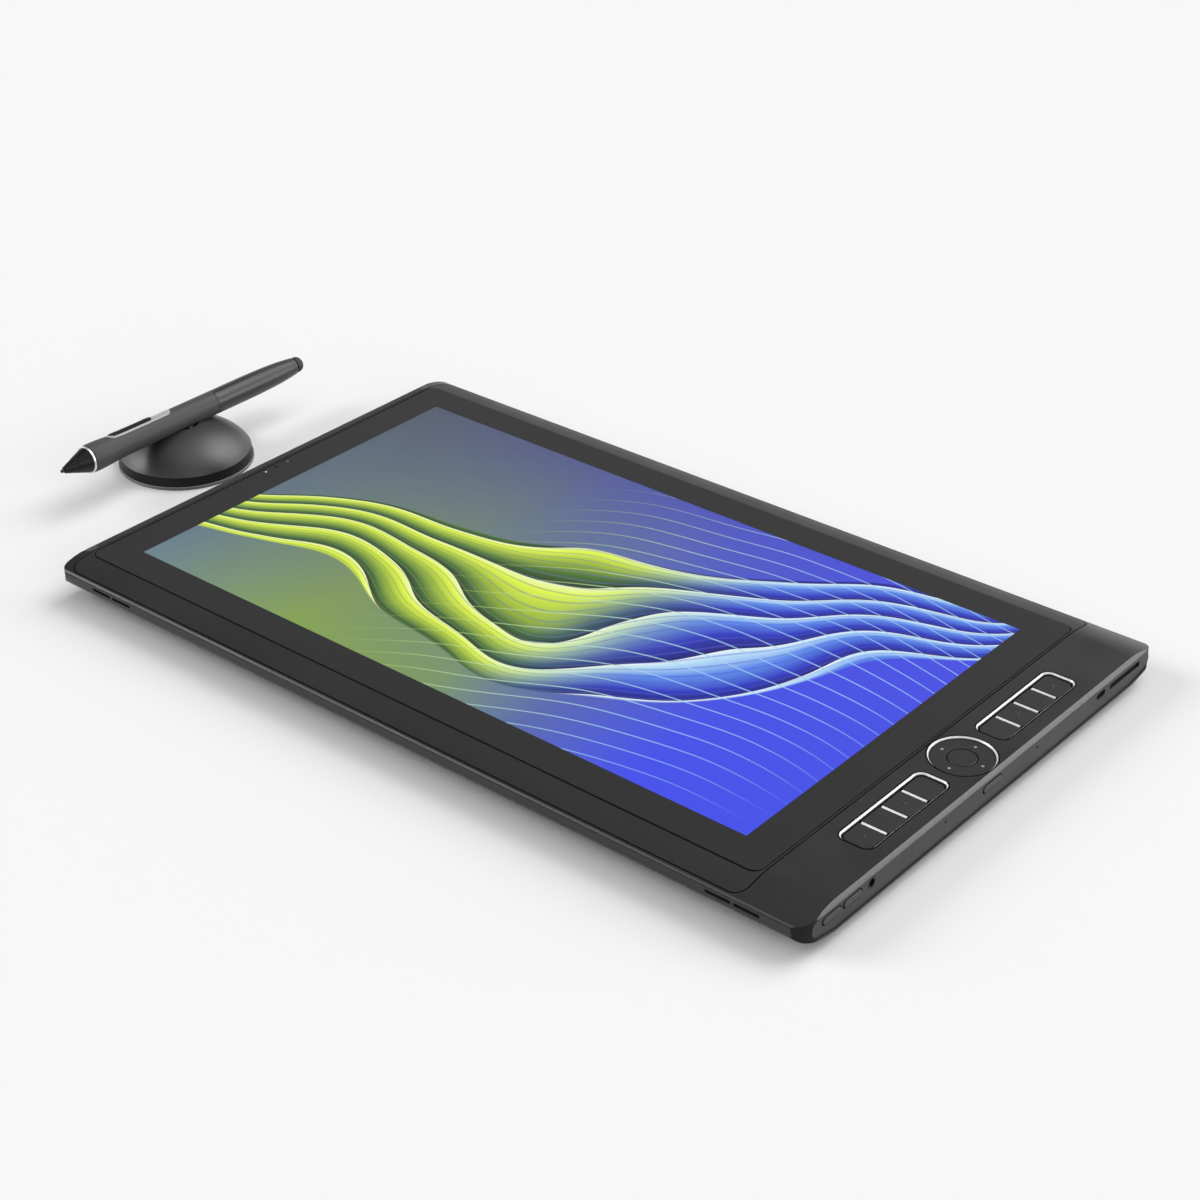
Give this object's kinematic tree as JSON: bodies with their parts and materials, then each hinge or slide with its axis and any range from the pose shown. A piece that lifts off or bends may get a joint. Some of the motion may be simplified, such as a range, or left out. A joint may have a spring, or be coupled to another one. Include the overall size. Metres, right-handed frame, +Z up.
{
  "type": "graphics tablet with screen",
  "caption": "Flat graphics tablet with a built-in screen, a side strip of express keys round a touch ring, and a pressure pen lying across its round domed stand.",
  "frame": {"origin": "middle of the set's footprint on the desk, on z = 0 under the rubber feet", "axes": "+X along the tablet's long side towards the key strip, +Y towards its far long side, +Z up"},
  "size_m": [0.513, 0.255, 0.0311],
  "materials": {
    "housing": "fine matte",
    "rear_shell": "fine matte",
    "bezel": "fine matte",
    "cover_glass": "etched",
    "display": "gloss",
    "circuit_board": "satin",
    "stiffener": "brushed",
    "end_plate": "satin",
    "bright_trim": "polished",
    "keys": "satin",
    "touch_surface": "satin",
    "light_pipe": "gloss",
    "black_plastic": "satin",
    "contact_metal": "satin",
    "cell_wrap": "satin",
    "heat_pipe": "satin",
    "port_steel": "satin",
    "black_rubber": "matte",
    "grey_rubber": "matte",
    "stand_base": "satin",
    "stand_dome": "fine matte",
    "pen_rubber": "soft matte",
    "pen_cone": "satin",
    "pen_barrel": "satin",
    "switch_plate": "satin"
  },
  "bodies": {
    "tablet": {"rear_cover": "rear_shell", "top_housing": "housing", "front_bezel": "bezel", "cover_glass": "cover_glass", "display_panel": "display", "sensor_board": "circuit_board", "chassis_plate": "stiffener", "end_plate": "end_plate", "lower_key_trim": "bright_trim", "upper_key_trim": "bright_trim", "ring_trim": "bright_trim", "touch_ring": "touch_surface", "ring_lights": "light_pipe", "key_board": "circuit_board", "key_domes": "contact_metal", "webcam": "black_plastic", "main_board": "circuit_board", "battery_pack": "cell_wrap", "heat_sink": "heat_pipe", "fan_housings": "black_plastic", "storage_module": "black_plastic", "speakers": "black_plastic", "card_reader": "port_steel", "headset_jack": "black_plastic", "lock_plate": "port_steel", "microphones": "black_plastic", "side_switches": "circuit_board", "usb_board": "circuit_board", "usb_ports": "port_steel", "rubber_feet": "black_rubber", "cover_screws": "port_steel"},
    "lower_key_1_body": {"lower_key_1": "keys"},
    "lower_key_2_body": {"lower_key_2": "keys"},
    "lower_key_3_body": {"lower_key_3": "keys"},
    "lower_key_4_body": {"lower_key_4": "keys"},
    "upper_key_1_body": {"upper_key_1": "keys"},
    "upper_key_2_body": {"upper_key_2": "keys"},
    "upper_key_3_body": {"upper_key_3": "keys"},
    "upper_key_4_body": {"upper_key_4": "keys"},
    "ring_button_body": {"ring_button": "keys"},
    "power_button_body": {"power_button": "black_plastic"},
    "volume_up_button_body": {"volume_up_button": "black_plastic"},
    "volume_down_button_body": {"volume_down_button": "black_plastic"},
    "left_fan_body": {"left_fan_rotor": "black_plastic"},
    "right_fan_body": {"right_fan_rotor": "black_plastic"},
    "stand": {"stand_foot": "grey_rubber", "stand_base": "stand_base", "spare_nib_set": "black_plastic"},
    "stand_top": {"stand_dome": "stand_dome"},
    "pen": {"pen_grip": "pen_rubber", "pen_front_cone": "pen_cone", "pen_ring": "bright_trim", "pen_switch_plate": "switch_plate", "pen_rear_barrel": "pen_barrel", "pen_core": "heat_pipe"},
    "pen_switch": {"pen_side_switch": "black_plastic"},
    "nib": {"pen_nib": "black_plastic"},
    "eraser": {"pen_eraser": "pen_cone"}
  },
  "joints": [
    {"name": "lower_key_1_press", "type": "slide", "parent": "tablet", "child": "lower_key_1_body", "axis": [0, 0, -1], "range_m": [0, 0.0005], "stiffness_N_per_m": 1500},
    {"name": "lower_key_2_press", "type": "slide", "parent": "tablet", "child": "lower_key_2_body", "axis": [0, 0, -1], "range_m": [0, 0.0005], "stiffness_N_per_m": 1500},
    {"name": "lower_key_3_press", "type": "slide", "parent": "tablet", "child": "lower_key_3_body", "axis": [0, 0, -1], "range_m": [0, 0.0005], "stiffness_N_per_m": 1500},
    {"name": "lower_key_4_press", "type": "slide", "parent": "tablet", "child": "lower_key_4_body", "axis": [0, 0, -1], "range_m": [0, 0.0005], "stiffness_N_per_m": 1500},
    {"name": "upper_key_1_press", "type": "slide", "parent": "tablet", "child": "upper_key_1_body", "axis": [0, 0, -1], "range_m": [0, 0.0005], "stiffness_N_per_m": 1500},
    {"name": "upper_key_2_press", "type": "slide", "parent": "tablet", "child": "upper_key_2_body", "axis": [0, 0, -1], "range_m": [0, 0.0005], "stiffness_N_per_m": 1500},
    {"name": "upper_key_3_press", "type": "slide", "parent": "tablet", "child": "upper_key_3_body", "axis": [0, 0, -1], "range_m": [0, 0.0005], "stiffness_N_per_m": 1500},
    {"name": "upper_key_4_press", "type": "slide", "parent": "tablet", "child": "upper_key_4_body", "axis": [0, 0, -1], "range_m": [0, 0.0005], "stiffness_N_per_m": 1500},
    {"name": "ring_button_press", "type": "slide", "parent": "tablet", "child": "ring_button_body", "axis": [0, 0, -1], "range_m": [0, 0.0005], "stiffness_N_per_m": 1500},
    {"name": "power_button_press", "type": "slide", "parent": "tablet", "child": "power_button_body", "axis": [-1, 0, 0], "range_m": [0, 0.0004], "stiffness_N_per_m": 2500},
    {"name": "volume_up_button_press", "type": "slide", "parent": "tablet", "child": "volume_up_button_body", "axis": [-1, 0, 0], "range_m": [0, 0.0004], "stiffness_N_per_m": 2500},
    {"name": "volume_down_button_press", "type": "slide", "parent": "tablet", "child": "volume_down_button_body", "axis": [-1, 0, 0], "range_m": [0, 0.0004], "stiffness_N_per_m": 2500},
    {"name": "left_fan_spin", "type": "hinge", "parent": "tablet", "child": "left_fan_body", "pos_m": [-0.10556, 0.0309, 0.0066], "axis": [0, 0, 1], "continuous": true},
    {"name": "right_fan_spin", "type": "hinge", "parent": "tablet", "child": "right_fan_body", "pos_m": [-0.03956, 0.0309, 0.0066], "axis": [0, 0, 1], "continuous": true},
    {"name": "stand_slide", "type": "slide", "parent": "tablet", "child": "stand", "axis": [-1, 0, 0], "range_m": [0, 0.08]},
    {"name": "dome_twist", "type": "hinge", "parent": "stand", "child": "stand_top", "pos_m": [-0.2225, 0.0012, 0.008], "axis": [0, 0, 1], "range_deg": [0, 30]},
    {"name": "pen_lift", "type": "slide", "parent": "stand_top", "child": "pen", "axis": [0, 0, 1], "range_m": [0, 0.08]},
    {"name": "side_switch_rock", "type": "hinge", "parent": "pen", "child": "pen_switch", "pos_m": [-0.22362, -0.0311, 0.02925], "axis": [0.9781, 0, 0.2079], "range_deg": [-2.5, 2.5], "stiffness_Nm_per_rad": 0.25},
    {"name": "nib_press", "type": "slide", "parent": "pen", "child": "nib", "axis": [0, 1, 0], "range_m": [0, 0.0004], "stiffness_N_per_m": 4000},
    {"name": "eraser_press", "type": "slide", "parent": "pen", "child": "eraser", "axis": [0, -1, 0], "range_m": [0, 0.0008], "stiffness_N_per_m": 2000}
  ]
}
